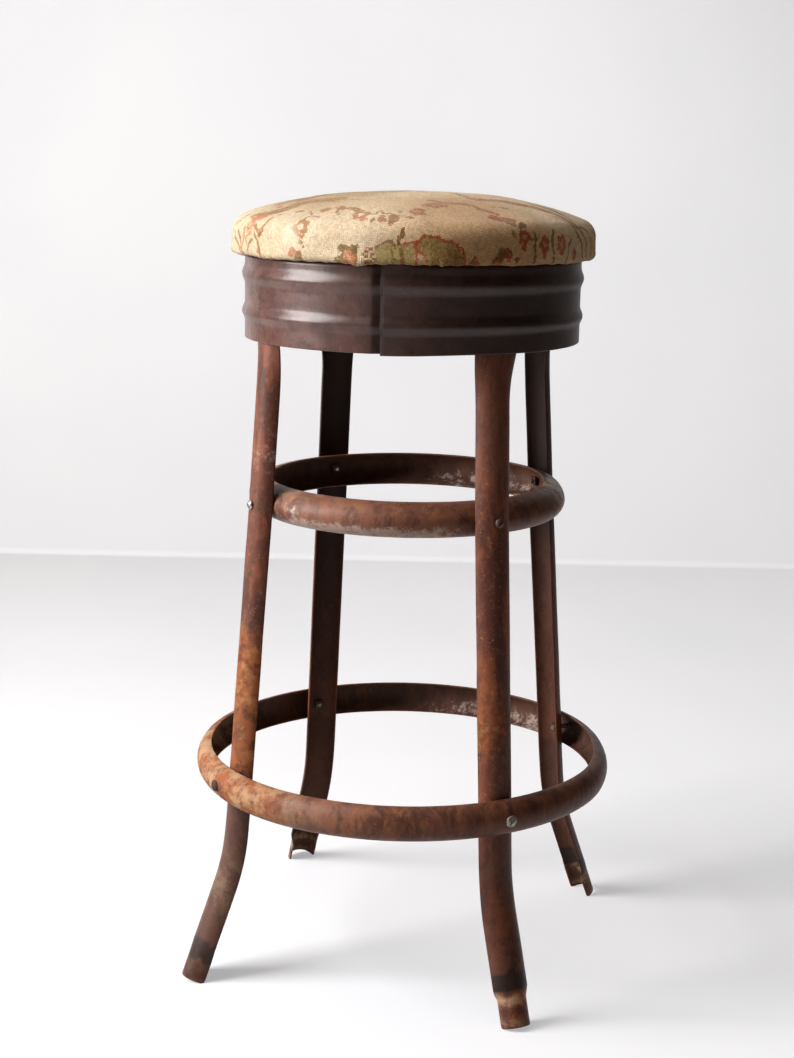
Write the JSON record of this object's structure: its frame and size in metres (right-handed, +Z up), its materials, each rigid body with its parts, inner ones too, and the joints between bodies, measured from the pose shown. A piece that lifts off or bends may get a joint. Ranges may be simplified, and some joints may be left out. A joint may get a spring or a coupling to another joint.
{
  "type": "workshop stool",
  "caption": "Tall metal workshop stool: round padded cloth seat over a beaded steel skirt, on splayed half-round legs tied by an upper ring and a lower foot ring.",
  "frame": {"origin": "on the floor, on the seat's vertical axis", "axes": "+Z up, -Y is the front; the legs stand at 45 degrees to X and Y"},
  "size_m": [0.427, 0.427, 0.7745],
  "materials": {
    "leg_paint": "worn brown paint with rust",
    "ring_paint": "worn brown paint with rust and bare patches",
    "skirt_paint": "satin reddish-brown paint, aged",
    "bright_steel": "worn bright steel",
    "dull_steel": "dull brown steel",
    "plywood": "raw plywood",
    "wadding": "cotton wadding",
    "tapestry": "coarse woven floral tapestry on a cream ground"
  },
  "bodies": {
    "root": {"leg_front_right": "leg_paint", "leg_back_right": "leg_paint", "leg_back_left": "leg_paint", "leg_front_left": "leg_paint", "lower_screw_front_right": "bright_steel", "lower_nut_front_right": "dull_steel", "lower_screw_back_right": "bright_steel", "lower_nut_back_right": "dull_steel", "lower_screw_back_left": "bright_steel", "lower_nut_back_left": "dull_steel", "lower_screw_front_left": "bright_steel", "lower_nut_front_left": "dull_steel", "upper_screw_front_right": "bright_steel", "upper_nut_front_right": "dull_steel", "upper_screw_back_right": "bright_steel", "upper_nut_back_right": "dull_steel", "upper_screw_back_left": "bright_steel", "upper_nut_back_left": "dull_steel", "upper_screw_front_left": "bright_steel", "upper_nut_front_left": "dull_steel", "seat_screw_front_right_left": "dull_steel", "seat_screw_front_right_right": "dull_steel", "seat_screw_back_right_left": "dull_steel", "seat_screw_back_right_right": "dull_steel", "seat_screw_back_left_left": "dull_steel", "seat_screw_back_left_right": "dull_steel", "seat_screw_front_left_left": "dull_steel", "seat_screw_front_left_right": "dull_steel", "lower_foot_ring": "ring_paint", "upper_ring": "ring_paint", "skirt_band": "skirt_paint", "seat_board": "plywood", "seat_padding": "wadding", "seat_cover": "tapestry"}
  },
  "joints": []
}
